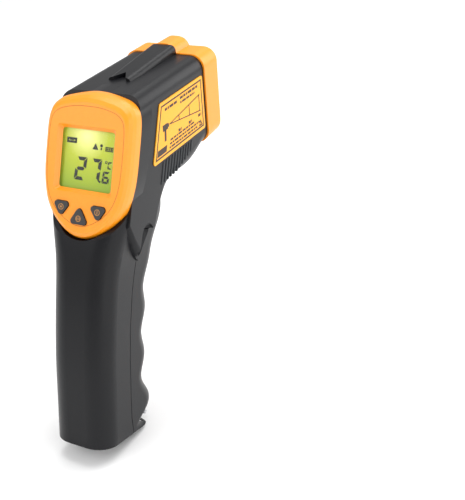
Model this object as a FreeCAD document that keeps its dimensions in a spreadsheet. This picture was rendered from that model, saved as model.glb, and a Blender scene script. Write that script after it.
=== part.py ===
"""Pistol-grip infrared thermometer: housing halves, display, keys, optics, laser, trigger and battery door.

Millimetres. X is the user's right, Y the aiming direction, Z up. The origin is the centre of the grip's butt.
"""
import FreeCAD, Part
import math
import os
import Sketcher

Vector = FreeCAD.Vector
DOC = FreeCAD.newDocument("InfraredThermometer")
SHEET = DOC.addObject("Spreadsheet::Sheet", "Dims")

SIZES = (
    ("bezel_tilt", 21.1), ("handle_lean", 13.5), ("wall", 2.2), ("seat_gap", 0.15), ("seam_gap", 0.35),
    ("display_y", 14.9), ("display_z", 121.9), ("display_wide", 24.0), ("display_tall", 23.3),
    ("bezel_half", 20.2), ("bezel_top", 27.1), ("bezel_bottom", 31.9), ("bezel_back", 5.8),
    ("bezel_face", 2.3), ("bezel_skin", 2.0), ("collar_depth", 8.0),
    ("barrel_half", 18.8), ("barrel_top", 144.8), ("barrel_floor", 101.4), ("barrel_corner", 6.0),
    ("barrel_front", 80.5), ("ring_front", 93.6), ("ring_half", 19.5), ("ring_wall", 3.2),
    ("ring_rise", 4.4), ("hump_half", 6.4),
    ("grip_half", 14.2), ("grip_back", 20.4), ("grip_front", 16.0), ("grip_corner", 9.5),
    ("optic_z", 123.5), ("tube_radius", 12.2), ("tube_bore", 10.0), ("tube_back", 55.0),
    ("tube_front", 81.0), ("lens_radius", 10.8), ("lens_thick", 1.4), ("sensor_radius", 4.1),
    ("sensor_long", 4.4), ("sensor_rim", 0.6), ("mouth_radius", 13.0), ("throat_radius", 10.2),
    ("laser_z", 142.4), ("laser_radius", 3.0), ("laser_back", 70.5), ("laser_long", 11.5),
    ("beam_radius", 2.1), ("beam_glass", 0.8),
    ("board_thick", 1.6), ("board_depth", 8.4), ("glass_thick", 1.2), ("panel_thick", 2.2),
    ("light_thick", 2.6), ("key_proud", 0.8), ("key_gap", 0.2), ("key_lip", 0.8), ("stem_radius", 1.6),
    ("switch_side", 4.4), ("switch_tall", 3.4),
    ("trigger_half", 5.5), ("trigger_gap", 0.5), ("pivot_w", 13.5), ("pivot_t", 100.5),
    ("pivot_radius", 1.25), ("pivot_fit", 0.06), ("plunger_radius", 1.1), ("plunger_gap", 0.2),
    ("cell_radius", 5.25), ("cell_long", 43.3), ("cell_foot", 13.4), ("cell_w", 1.8), ("nub_long", 1.2),
    ("nub_radius", 1.9), ("cell_gap", 0.4), ("tray_wall", 1.0), ("contact_thick", 0.4),
    ("spring_wire", 0.35), ("door_pin_w", 15.2), ("door_pin_t", 5.0), ("door_nose", 5.0),
    ("door_pin_radius", 1.0), ("door_fit", 0.1), ("screw_radius", 1.3), ("screw_head", 2.3),
    ("screw_long", 10.0), ("boss_radius", 3.0), ("label_thick", 0.35), ("lead_radius", 0.55),
)


class Size:
    """A length that carries both its sheet expression and its number."""

    def __init__(self, text, number):
        self.text = text
        self.number = number

    def join(self, sign, other, number):
        return Size("({} {} {})".format(self.text, sign, as_size(other).text), number)

    def __add__(self, other):
        return self.join("+", other, self.number + float(other))

    def __sub__(self, other):
        return self.join("-", other, self.number - float(other))

    def __mul__(self, other):
        return self.join("*", other, self.number * float(other))

    def __truediv__(self, other):
        return self.join("/", other, self.number / float(other))

    def __radd__(self, other):
        return as_size(other) + self

    def __rsub__(self, other):
        return as_size(other) - self

    def __rmul__(self, other):
        return as_size(other) * self

    def __neg__(self):
        return as_size(0) - self

    def __float__(self):
        return float(self.number)


def as_size(value):
    """Return value as a Size."""
    if isinstance(value, Size):
        return value
    return Size("({})".format(value), float(value))


class Sheet:
    """The driving dimensions, each one read back from its cell."""

    def __init__(self, rows):
        for row, (alias, number) in enumerate(rows, 1):
            SHEET.set("A{}".format(row), alias)
            SHEET.set("B{}".format(row), str(number))
            SHEET.setAlias("B{}".format(row), alias)
        DOC.recompute()

    def __getattr__(self, alias):
        return Size("Dims." + alias, float(getattr(SHEET, alias)))


D = Sheet(SIZES)
NODES = []


# Frames ------------------------------------------------------------------------------------------

def bezel_frame():
    """Display centre; local x is X, y runs up the bezel, z points out of its face."""
    turn = FreeCAD.Rotation(Vector(1, 0, 0), 90 - float(D.bezel_tilt))
    return FreeCAD.Placement(Vector(0, float(D.display_y), float(D.display_z)), turn)


def grip_frame():
    """Butt centre; local x is X, y runs forward across the grip, z runs up its length."""
    turn = FreeCAD.Rotation(Vector(1, 0, 0), -float(D.handle_lean))
    return FreeCAD.Placement(Vector(0, 0, 0), turn)


def aim_frame(y, z, x=0):
    """A point on an axis along Y; local z points forward."""
    turn = FreeCAD.Rotation(Vector(1, 0, 0), -90)
    return FreeCAD.Placement(Vector(float(x), float(y), float(z)), turn)


def side_frame(base, x, y, z):
    """A point in a base frame; local z points along X."""
    turn = FreeCAD.Rotation(Vector(0, 1, 0), 90)
    return base.multiply(FreeCAD.Placement(Vector(float(x), float(y), float(z)), turn))


def moved(base, x, y, z):
    """The base frame moved along its own axes."""
    return base.multiply(FreeCAD.Placement(Vector(float(x), float(y), float(z)), FreeCAD.Rotation()))


# Document helpers --------------------------------------------------------------------------------

def bind(obj, prop, size):
    """Bind a property to its sheet expression."""
    obj.setExpression(prop, as_size(size).text)


def node(obj, name, frame=None):
    """Name a finished sub-part, place it and list it for export."""
    obj.Label = name
    if frame is not None:
        obj.Placement = frame
    NODES.append(obj)
    return obj


def feature(name, shape, frame=None):
    """A Part::Feature for a shape that Part's own functions make."""
    obj = DOC.addObject("Part::Feature", name + "_shape")
    obj.Shape = shape
    return node(obj, name, frame)


def box(name, size, corner):
    """A Part::Box bound to its sizes and corner."""
    obj = DOC.addObject("Part::Box", name)
    for prop, length in zip(("Length", "Width", "Height"), size):
        bind(obj, prop, length)
    for axis, place in zip("xyz", corner):
        bind(obj, ".Placement.Base." + axis, place)
    return obj


def cylinder(name, radius, height, base=None):
    """A Part::Cylinder along its local z."""
    obj = DOC.addObject("Part::Cylinder", name)
    bind(obj, "Radius", radius)
    bind(obj, "Height", height)
    for axis, place in zip("xyz", base or ()):
        bind(obj, ".Placement.Base." + axis, place)
    return obj


def cut(name, base, *tools):
    """Cut one or more tools from a base."""
    for count, tool in enumerate(tools):
        obj = DOC.addObject("Part::Cut", "{}_cut{}".format(name, count))
        obj.Base = base
        obj.Tool = tool
        base = obj
    return base


def fuse(name, *parts):
    """Fuse pieces into one solid."""
    obj = DOC.addObject("Part::MultiFuse", name + "_fuse")
    obj.Shapes = list(parts)
    return obj


def group(name, *parts):
    """Keep like pieces together as separate solids of one node."""
    obj = DOC.addObject("Part::Compound", name + "_group")
    obj.Links = list(parts)
    return obj


def plane_of(body, role):
    """The body's own origin plane with this role."""
    return [item for item in body.Origin.OriginFeatures if item.Role == role][0]


def polygon_sketch(body, name, points, role="XY_Plane"):
    """A closed polygon whose corners are bound to the sheet."""
    sketch = body.newObject("Sketcher::SketchObject", name)
    sketch.AttachmentSupport = [(plane_of(body, role), "")]
    sketch.MapMode = "FlatFace"
    corners = [Vector(float(x), float(y), 0) for x, y in points]
    count = len(corners)
    for index in range(count):
        sketch.addGeometry(Part.LineSegment(corners[index], corners[(index + 1) % count]), False)
    for index in range(count):
        sketch.addConstraint(Sketcher.Constraint("Coincident", index, 2, (index + 1) % count, 1))
    for index, (x, y) in enumerate(points):
        for kind, place in (("DistanceX", x), ("DistanceY", y)):
            number = sketch.addConstraint(Sketcher.Constraint(kind, -1, 1, index, 1, float(place)))
            if isinstance(place, Size):
                sketch.setExpression("Constraints[{}]".format(number), place.text)
    return sketch


def prism_body(name, points, length, role="XY_Plane", corner=None):
    """A body padded from a bound polygon, its upright edges filleted when a corner radius is given."""
    body = DOC.addObject("PartDesign::Body", name + "_body")
    pad = body.newObject("PartDesign::Pad", name + "_pad")
    pad.Profile = polygon_sketch(body, name + "_outline", points, role)
    bind(pad, "Length", length)
    if corner is not None:
        DOC.recompute()
        upright = ["Edge{}".format(index + 1) for index, edge in enumerate(pad.Shape.Edges)
                   if is_upright(edge, role)]
        fillet = body.newObject("PartDesign::Fillet", name + "_fillet")
        fillet.Base = (pad, upright)
        bind(fillet, "Radius", corner)
        body.Tip = fillet
    return body


def is_upright(edge, role):
    """Whether an edge runs along the pad of this plane."""
    ends = edge.Vertexes[1].Point - edge.Vertexes[0].Point
    axis = Vector(0, 0, 1) if role == "XY_Plane" else Vector(1, 0, 0)
    return abs(abs(ends.normalize().dot(axis)) - 1) < 1e-6


def turned_body(name, points):
    """A body revolved about its local z from bound (radius, height) points."""
    body = DOC.addObject("PartDesign::Body", name + "_body")
    sketch = polygon_sketch(body, name + "_profile", points, "XZ_Plane")
    turn = body.newObject("PartDesign::Revolution", name + "_turn")
    turn.Profile = sketch
    turn.ReferenceAxis = (sketch, ["V_Axis"])
    turn.Angle = 360
    return body


def rectangle(wide, tall):
    """Corners of a centred rectangle."""
    half_x = as_size(wide) / 2
    half_y = as_size(tall) / 2
    return [(-half_x, -half_y), (half_x, -half_y), (half_x, half_y), (-half_x, half_y)]


# Shape helpers -----------------------------------------------------------------------------------

def rounded_wire(points, radius):
    """A closed wire through 3-D points of one plane, each corner an arc."""
    segments = []
    count = len(points)
    ends = []
    for index in range(count):
        here = points[index]
        back = points[index - 1] - here
        ahead = points[(index + 1) % count] - here
        half = back.getAngle(ahead) / 2
        reach = radius / math.tan(half)
        middle = (back.normalize() + ahead.normalize()).normalize()
        start = here + back * reach
        finish = here + ahead * reach
        centre = here + middle * (radius / math.sin(half))
        ends.append((start, centre - middle * radius, finish))
    for index in range(count):
        start, peak, finish = ends[index]
        segments.append(Part.Arc(start, peak, finish).toShape())
        segments.append(Part.LineSegment(finish, ends[(index + 1) % count][0]).toShape())
    return Part.Wire(segments)


def prism(wire, along):
    """Extrude a closed wire."""
    return Part.Face(wire).extrude(along)


def solid_box(low, high):
    """An axis-aligned block between two corners."""
    size = [high[axis] - low[axis] for axis in range(3)]
    return Part.makeBox(size[0], size[1], size[2], Vector(*low))


def section(half, low, high, corner, y):
    """A rounded rectangle across the barrel at y."""
    points = [Vector(-half, y, low), Vector(half, y, low), Vector(half, y, high), Vector(-half, y, high)]
    return rounded_wire(points, corner)


OUTLINE = ((0.237, 0.986), (0.52, 0.945), (0.787, 0.875), (0.925, 0.77), (0.983, 0.61), (1.0, 0.27),
           (1.0, -0.03), (0.986, -0.226), (0.938, -0.422), (0.848, -0.602), (0.69, -0.757),
           (0.515, -0.867), (0.325, -0.948), (0.14, -0.991))


def shield(half, top, bottom, height):
    """The display end's shield outline at a height above the display plane, in the bezel frame."""
    right = [(half * x, (top if y > 0 else bottom) * y) for x, y in OUTLINE]
    left = [(-x, y) for x, y in reversed(right)]
    points = [(0, top)] + right + [(0, -bottom)] + left
    curve = Part.BSplineCurve()
    curve.interpolate([Vector(x, y, height) for x, y in points], PeriodicFlag=True)
    return Part.Wire(curve.toShape())


GRIP_STATIONS = ((0, -0.8, 4.4, -0.2), (8, -0.5, 4.2, 0), (18, 0.2, 2.4, 0), (24.5, 0.7, -1.0, 0),
                 (34.5, 1.4, 1.2, 0), (45.3, 1.7, -1.9, 0), (56, 1.7, 0.7, 0), (65.5, 1.5, -1.2, 0),
                 (76, 0.9, 2.0, 0.3), (84.5, 0.2, 2.9, 1.2), (93, -0.8, 4.3, 2.8), (101, -2.0, 5.0, 3.8),
                 (107, -3.0, 5.4, 4.3))


def grip_section(station, inset):
    """One rounded section across the grip, in the grip frame."""
    height, back, front, flare = station
    half = float(D.grip_half) + flare - inset
    low = -(float(D.grip_back) + back) + inset
    high = float(D.grip_front) + front - inset
    points = [Vector(-half, low, height), Vector(half, low, height), Vector(half, high, height),
              Vector(-half, high, height)]
    return rounded_wire(points, float(D.grip_corner) - inset)


def grip_solid(inset):
    """The grip's body with its finger grooves, in the part frame."""
    wires = [grip_section(station, inset) for station in GRIP_STATIONS]
    shape = Part.makeLoft(wires, True, False)
    shape.Placement = grip_frame()
    return shape


BARREL_STATIONS = ((10, -3.4), (46, -0.7), (58, -0.2), (67, 0.4), (73, 2.4))


def barrel_solid(inset):
    """The barrel from behind the display to the nose ring."""
    half = float(D.barrel_half) - inset
    top = float(D.barrel_top) - inset
    corner = float(D.barrel_corner) - inset / 2
    front = float(D.barrel_front)
    floors = BARREL_STATIONS + ((front, 4.1),)
    if inset:
        floors += ((front + 5, 5.2),)
    wires = [section(half, float(D.barrel_floor) + drop + inset, top, corner, y) for y, drop in floors]
    return Part.makeLoft(wires, True, False)


RIDGE_START = 44.0
RIDGE_NOTCH = 5.4


def ridge_solid(inset):
    """The sighting ridge that rises towards the laser."""
    top = float(D.barrel_top)
    rise = float(D.ring_rise)
    base = top - 3 * float(D.wall)
    half = float(D.hump_half)
    front = float(D.barrel_front)
    spans = ((RIDGE_START + 2 * inset, half * 0.86, rise * 0.3), (front, half * 0.97, rise * 0.9))
    wires = [section(part - inset, base, top + up - inset, 2.4 - inset / 2, y) for y, part, up in spans]
    ridge = Part.makeLoft(wires, True, True)
    corners = [Vector(-RIDGE_NOTCH, RIDGE_START - 4, top), Vector(RIDGE_NOTCH, RIDGE_START - 4, top),
               Vector(0, RIDGE_START + 5.5, top)]
    return ridge if inset else ridge.cut(prism(Part.makePolygon(corners + corners[:1]), Vector(0, 0, 9)))


def behind_plane(depth, far=200.0):
    """Everything on the user's side of a plane parallel to the display, depth below it."""
    block = Part.makeBox(far, far, far, Vector(-far / 2, -far / 2, -depth))
    block.Placement = bezel_frame().multiply(block.Placement)
    return block


def tail_trim(far=200.0):
    """Everything above the sloped plane where the grip's back wraps the bezel's lower tip."""
    bottom = float(D.bezel_bottom)
    back = float(D.bezel_back)
    face = float(D.bezel_face)
    start = Vector(0, -bottom - 0.4, face + 0.6)
    end = Vector(0, -bottom * 0.6, -back)
    slope = math.degrees(math.atan2(end.z - start.z, end.y - start.y))
    turn = FreeCAD.Rotation(Vector(1, 0, 0), slope)
    block = Part.makeBox(far, far, far, Vector(-far / 2, -far / 2, 0))
    block.Placement = bezel_frame().multiply(FreeCAD.Placement(start, turn))
    return block


COLLAR_LOW = 104.0


def collar_solid(inset):
    """The full-width collar that carries the bezel, its edges parallel to the display."""
    wire = shield(float(D.bezel_half) - inset, float(D.bezel_top) - inset, float(D.bezel_bottom) - inset,
                  -float(D.bezel_back))
    wire.Placement = bezel_frame()
    lobe = solid_box((-60, -60, -60), (60, 200, COLLAR_LOW + inset))
    return prism(wire, Vector(0, float(D.collar_depth) + inset, 0)).cut(lobe)


def bezel_pocket(gap):
    """The room the bezel takes above its seat."""
    wire = shield(float(D.bezel_half) + gap, float(D.bezel_top) + gap, float(D.bezel_bottom) + gap,
                  -float(D.bezel_back))
    wire.Placement = bezel_frame()
    out = bezel_frame().Rotation.multVec(Vector(0, 0, 1))
    return prism(wire, out * 60)


def housing_outer():
    """The housing's outer form, both halves and the battery door together."""
    barrel = barrel_solid(0).fuse(ridge_solid(0)).cut(behind_plane(float(D.bezel_back)))
    grip = grip_solid(0).cut(tail_trim())
    return collar_solid(0).fuse([barrel, grip]).cut(bezel_pocket(float(D.seat_gap)))


def housing_inner():
    """The room inside the housing."""
    wall = float(D.wall)
    barrel = barrel_solid(wall).fuse(ridge_solid(wall * 0.8)).cut(behind_plane(float(D.bezel_back) + wall))
    grip = grip_solid(wall).cut(butt_slab()).cut(behind_plane(float(D.bezel_back)))
    opening = collar_solid(wall)
    return opening.fuse([barrel, grip])


def butt_slab():
    """The grip's floor."""
    slab = solid_box((-60, -60, -5), (60, 60, float(D.wall) + 0.4))
    slab.Placement = grip_frame()
    return slab


DOOR_SEAM = ((3.6, -1.0), (1.2, 8.0), (0.1, 18.3), (-1.2, 36.4), (-1.6, 50.5), (-0.9, 65.0), (0.9, 81.0),
             (3.6, 91.5))
DOOR_TOP = (24.0, 97.5)
NOTCH_LOW = 79.5


def door_region(gap):
    """The side view of the battery door, grown by a gap, across the whole grip."""
    points = [Vector(0, across - gap, up) for across, up in DOOR_SEAM[:-1]]
    points.append(Vector(0, DOOR_SEAM[-1][0] - gap, DOOR_SEAM[-1][1] + gap))
    points.append(Vector(0, DOOR_TOP[0] + 6, DOOR_TOP[1] + gap))
    points.append(Vector(0, DOOR_TOP[0] + 6, -1))
    wire = Part.makePolygon(points + points[:1])
    shape = prism(wire, Vector(80, 0, 0))
    shape.translate(Vector(-40, 0, 0))
    half = float(D.trigger_half) + 2 * float(D.trigger_gap)
    notch = solid_box((-half - 1.2 + gap, -10, NOTCH_LOW + gap), (half + 1.2 - gap, 60, 140))
    shape = shape.cut(notch)
    shape.Placement = grip_frame()
    return shape


def grip_cylinder(radius, across, up, low, high):
    """A cylinder along X in the grip, from low to high."""
    shape = Part.makeCylinder(radius, high - low, Vector(low, across, up), Vector(1, 0, 0))
    shape.Placement = grip_frame()
    return shape


RECESS_ENDS = ((4.4, 1.2, 83.5), (4.9, 2.9, 91.0))
RECESS_RADIUS = 4.4


def finger_recess():
    """The long ovals over the side seams that give a fingertip hold on the door."""
    capsules = []
    for side in (-1, 1):
        low, high = [Vector(side * (float(D.grip_half) + out), across, up) for out, across, up in RECESS_ENDS]
        capsules.append(Part.makeCylinder(RECESS_RADIUS, (high - low).Length, low, high - low))
        capsules.append(Part.makeSphere(RECESS_RADIUS, low))
        capsules.append(Part.makeSphere(RECESS_RADIUS, high))
    shape = capsules[0].fuse(capsules[1:])
    shape.Placement = grip_frame()
    return shape


SCREWS = (("grip", -15.0, 22.0), ("grip", -15.0, 72.0), ("barrel", 43.0, 107.0), ("barrel", 73.5, 108.4),
          ("barrel", 44.0, 130.0))


def screw_places():
    """The screws' (y, z) places in the part frame."""
    places = []
    for where, first, second in SCREWS:
        point = Vector(0, first, second)
        if where == "grip":
            point = grip_frame().multVec(point)
        places.append((point.y, point.z))
    return places


def along_x(radius, place, low, high):
    """A cylinder along X at a (y, z) place."""
    return Part.makeCylinder(radius, high - low, Vector(low, place[0], place[1]), Vector(1, 0, 0))


def housing_ribs(inner, side):
    """Screw bosses, tube and laser saddles and spring seat of one half, kept inside the shell."""
    pieces = []
    half = 25.0 * side
    for place in screw_places():
        pieces.append(along_x(float(D.boss_radius), place, min(0, half), max(0, half)))
    for y in (float(D.tube_back) + 4, float(D.tube_front) - 8):
        pieces.append(solid_box((min(0, half), y, 100), (max(0, half), y + 1.6, 150)))
    if side > 0:
        pieces.append(spring_seat())
    ribs = pieces[0].fuse(pieces[1:]).common(inner)
    ribs = ribs.cut(Part.makeCylinder(float(D.tube_radius), 60, Vector(0, 45, float(D.optic_z)),
                                      Vector(0, 1, 0)))
    return ribs.cut(Part.makeCylinder(float(D.laser_radius), 50, Vector(0, 50, float(D.laser_z)),
                                      Vector(0, 1, 0)))


SPRING_AT = (3.0, 28.6)
SPRING_TOP = 107.0
ARM_TOP = 99.6


def spring_seat():
    """The shelf in the right half that the trigger spring pushes against."""
    return solid_box((0.3, SPRING_AT[1] - 4, SPRING_TOP), (25, SPRING_AT[1] + 4, SPRING_TOP + 1.6))


def hinge_lug():
    """The grip floor's arm that holds the door pin, its underside clear of the door's nose."""
    across = float(D.door_pin_w)
    up = float(D.door_pin_t)
    floor = float(D.wall) - up
    points = [Vector(-4.5, across + w, up + t) for w, t in
              ((-9.5, floor), (-9.5, 2.9), (-2.0, 2.6), (-0.5, 2.5), (-0.5, 0.3), (-6.3, 0.3), (-6.3, floor))]
    arm = prism(Part.makePolygon(points + points[:1]), Vector(9, 0, 0))
    knuckle = Part.makeCylinder(2.6, 9, Vector(-4.5, across, up), Vector(1, 0, 0))
    lug = arm.fuse(knuckle)
    lug.Placement = grip_frame()
    return lug


def door_sweep():
    """The room that the door's rounded nose turns in."""
    return grip_cylinder(float(D.door_nose) + float(D.seam_gap), float(D.door_pin_w), float(D.door_pin_t),
                         -40, 40)


def trigger_slot():
    """The slot the trigger swings in."""
    half = float(D.trigger_half) + float(D.trigger_gap)
    slot = solid_box((-half, 2, NOTCH_LOW - 3), (half, 60, 103.6))
    slot.Placement = grip_frame()
    return slot


def housing_halves():
    """Left and right housing: shell, ribs, door opening, trigger slot, screw wells and holes."""
    outer = housing_outer()
    inner = housing_inner()
    shell = outer.cut(inner)
    shell = shell.cut(door_region(float(D.seam_gap))).cut(door_tongue_room())
    floor = grip_solid(float(D.wall) + float(D.seam_gap)).common(butt_slab())
    ahead = solid_box((-60, -20, -5), (60, float(D.door_pin_w) - 1.5, 60))
    ahead.Placement = grip_frame()
    floor = floor.common(ahead)
    shell = shell.fuse([floor, cheeks(outer)]).cut(door_sweep())
    for side, name in ((-1, "left_housing"), (1, "right_housing")):
        block = solid_box((min(0, 60 * side), -60, -40), (max(0, 60 * side), 160, 200))
        half = shell.common(block).fuse(housing_ribs(inner, side))
        half = half.cut([trigger_slot(), pin_bore()])
        half = half.fuse(hinge_lug().common(block)).cut(door_pin_bore())
        half = half.cut(screw_room(side) + [finger_recess()])
        feature(name, largest(half))


def cheeks(outer):
    """Solid cheeks each side of the trigger that hold its pin."""
    inside = float(D.trigger_half) + float(D.trigger_gap)
    low = DOOR_SEAM[-1][1] + 6
    pair = []
    for side in (-1, 1):
        across = sorted((side * inside, side * (inside + 3)))
        cheek = solid_box((across[0], 6, low), (across[1], 26, low + 8))
        cheek.Placement = grip_frame()
        pair.append(cheek.common(outer))
    return pair[0].fuse(pair[1]).cut(door_region(float(D.seam_gap)))


def door_tongue_room():
    """Nothing of the shell stays in front of the door's lower nose."""
    block = solid_box((-40, float(D.door_pin_w) - 2, -5), (40, 60, float(D.door_pin_t)))
    block.Placement = grip_frame()
    return block


def pin_bore():
    """The trigger pin's hole, pressed."""
    return grip_cylinder(float(D.pivot_radius), float(D.pivot_w), float(D.pivot_t), -9.5, 9.5)


def door_pin_bore():
    """The door pin's hole in the lug, pressed."""
    return grip_cylinder(float(D.door_pin_radius), float(D.door_pin_w), float(D.door_pin_t), -12, 12)


def screw_room(side):
    """Clearance wells in the left half, pilot holes in the right."""
    rooms = []
    for place in screw_places():
        if side < 0:
            rooms.append(along_x(float(D.screw_head) + 0.2, place, -60, -4.0))
            rooms.append(along_x(float(D.screw_radius) + 0.2, place, -5, 0))
        else:
            rooms.append(along_x(float(D.screw_radius), place, 0, float(D.screw_long) - 4.0))
    return rooms


def largest(shape):
    """The one connected solid of a half, loose slivers left out."""
    return max(shape.Solids, key=lambda solid: solid.Volume)


# Display end -------------------------------------------------------------------------------------

KEYS = (("key_left", (-8.6, -19.9), ((-4.3, 2.7), (-0.2, -3.5), (4.3, 2.7))),
        ("key_middle", (0.0, -22.6), ((-4.6, -2.9), (4.6, -2.9), (0.0, 4.4))),
        ("key_right", (8.6, -19.9), ((-4.3, 2.7), (0.2, -3.5), (4.3, 2.7))))
KEY_CORNER = 1.2


def counter_clockwise(points):
    """The same corners in counter-clockwise order."""
    area = sum(points[i - 1][0] * points[i][1] - points[i][0] * points[i - 1][1]
               for i in range(len(points)))
    return list(points) if area > 0 else list(reversed(points))


def grown(points, gap):
    """A polygon with every side moved outward by gap."""
    points = counter_clockwise(points)
    count = len(points)
    sides = []
    for index in range(count):
        here = Vector(*points[index], 0)
        run = (Vector(*points[(index + 1) % count], 0) - here).normalize()
        sides.append((here + Vector(run.y, -run.x, 0) * gap, run))
    result = []
    for index in range(count):
        (first, run), (second, other) = sides[index - 1], sides[index]
        cross = run.x * other.y - run.y * other.x
        reach = ((second.x - first.x) * other.y - (second.y - first.y) * other.x) / cross
        corner = first + run * reach
        result.append((corner.x, corner.y))
    return result


def bezel_solid():
    """The bezel's outer form, in the bezel frame."""
    half, top, bottom = float(D.bezel_half), float(D.bezel_top), float(D.bezel_bottom)
    back, face = float(D.bezel_back), float(D.bezel_face)
    wires = [shield(half, top, bottom, -back), shield(half - 0.1, top - 0.6, bottom - 0.1, -face),
             shield(half - 0.45, top - 1.6, bottom - 0.5, -0.1), shield(half - 1.2, top - 3.0, bottom - 1.4, 1.4),
             shield(half - 2.2, top - 4.6, bottom - 3.0, face)]
    return Part.makeLoft(wires, True, True)


def display_bezel():
    """The bezel: domed shell, sloped display window, key holes, seating lip and board bosses."""
    half, top, bottom = float(D.bezel_half), float(D.bezel_top), float(D.bezel_bottom)
    back, face, wall = float(D.bezel_back), float(D.bezel_face), float(D.wall)
    under = face - float(D.bezel_skin)
    gap = float(D.seat_gap)
    shape = bezel_solid()
    shape = shape.cut(prism(shield(half - wall - 1.0, top - wall - 2.4, bottom - 1.9, -back - 1),
                            Vector(0, 0, back + 1 + under)))
    lip = prism(shield(half - wall - gap, top - wall - gap, bottom - wall - gap, -back - 2.2),
                Vector(0, 0, 2.4))
    lip = lip.cut(prism(shield(half - wall - 1.4, top - wall - 2.4, bottom - wall - 2.4, -back - 3),
                        Vector(0, 0, 4)))
    lip = lip.cut(solid_box((-40, -60, -20), (40, -bottom * 0.45, 5)))
    bosses = [Part.makeCylinder(1.7, float(D.board_depth) + under, Vector(x, y, -float(D.board_depth)))
              for x, y in board_screw_places()]
    shape = shape.fuse([lip] + bosses)
    window = Part.makeLoft([rounded_wire([Vector(x * grow_x, y * grow_y, level)
                                          for x, y in ((-1, -1), (1, -1), (1, 1), (-1, 1))], 1.2)
                            for grow_x, grow_y, level in window_levels()], True, True)
    cuts = [window]
    for name, (x, y), corners in KEYS:
        points = grown(corners, float(D.key_gap))
        wire = rounded_wire([Vector(x + a, y + b, -3) for a, b in points], KEY_CORNER + float(D.key_gap))
        cuts.append(prism(wire, Vector(0, 0, 10)))
    for x, y in board_screw_places():
        cuts.append(Part.makeCylinder(1.0, 5.0, Vector(x, y, -float(D.board_depth))))
    feature("display_bezel", largest(shape.cut(cuts)), bezel_frame())


def window_levels():
    """Half sizes of the sloped window opening and their levels."""
    wide, tall = float(D.display_wide) / 2, float(D.display_tall) / 2
    face = float(D.bezel_face)
    return ((wide, tall, -0.6), (wide, tall, 0.0), (wide + 1.7, tall + 1.7, face + 0.1))


def board_screw_places():
    """Board screws, in the bezel frame."""
    return ((-14.2, 17.4), (14.2, 17.4), (0.0, -16.85))


def flat_piece(name, wide, tall, thick, level, shift=0, corner=None):
    """A rectangular layer of the display stack; level is its lower face."""
    body = prism_body(name, rectangle(wide, tall), thick, corner=corner)
    node(body, name, moved(bezel_frame(), 0, shift, level))


def display_stack():
    """Window, LCD panel and backlight, one behind the other."""
    under = D.bezel_face - D.bezel_skin
    glass = under - D.glass_thick
    panel = glass - 0.2 - D.panel_thick
    light = panel - 0.1 - D.light_thick
    flat_piece("display_window", D.display_wide + 4, D.display_tall + 4, D.glass_thick, glass, 0, 1)
    flat_piece("lcd_panel", D.display_wide + 3, D.display_tall + 3, D.panel_thick, panel)
    flat_piece("lcd_backlight", D.display_wide + 3, D.display_tall - 1.3, D.light_thick, light, 2.0)
    outer = box("frame_outer", (D.display_wide + 5.6, D.display_tall + 6.4, glass - light + 0.3),
                (-(D.display_wide + 5.6) / 2, -(D.display_tall + 6.4) / 2, light - 0.3))
    inner = box("frame_inner", (D.display_wide + 4.2, D.display_tall + 4.2, glass - light + 2),
                (-(D.display_wide + 4.2) / 2, -(D.display_tall + 4.2) / 2, light - 1))
    rooms = [cylinder("frame_room{}".format(index), 2.1, 20, (x, y, -12))
             for index, (x, y) in enumerate(board_screw_places())]
    node(cut("lcd_frame", outer, inner, *rooms), "lcd_frame", bezel_frame())
    strip = panel + D.board_depth
    flat_piece("lcd_connector", D.display_wide, 1.6, strip, -D.board_depth, -(D.display_tall / 2) + 0.2)


def main_board():
    """The main board, its outline following the bezel, with screw holes."""
    half, top, bottom = D.bezel_half - 3.2, D.bezel_top - 5.0, D.bezel_bottom - 3.6
    points = [(half * x, (top if y > 0 else bottom) * y) for x, y in OUTLINE[1:-1]]
    points = points + [(-x, y) for x, y in reversed(points)]
    body = prism_body("main_board", points, D.board_thick)
    holes = [cylinder("board_hole{}".format(index), 1.2, 6, (x, y, -2))
             for index, (x, y) in enumerate(board_screw_places())]
    board = cut("main_board", body, *holes)
    node(board, "main_board", moved(bezel_frame(), 0, 0, -(D.board_depth + D.board_thick)))
    chip = prism_body("main_chip", rectangle(10, 10), 1.5, corner=0.3)
    node(chip, "main_chip", moved(bezel_frame(), 0, 4, -(D.board_depth + D.board_thick + 1.5)))


def board_screws():
    """Three screws from behind the board into the bezel bosses."""
    screws = []
    for index, (x, y) in enumerate(board_screw_places()):
        low = -(D.board_depth + D.board_thick)
        head = cylinder("board_head{}".format(index), 1.9, 1.2, (x, y, low - 1.2))
        shank = cylinder("board_shank{}".format(index), 1.0, D.board_thick + 4.6, (x, y, low))
        screws.append(fuse("board_screw{}".format(index), head, shank))
    node(group("board_screws", *screws), "board_screws", bezel_frame())


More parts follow.
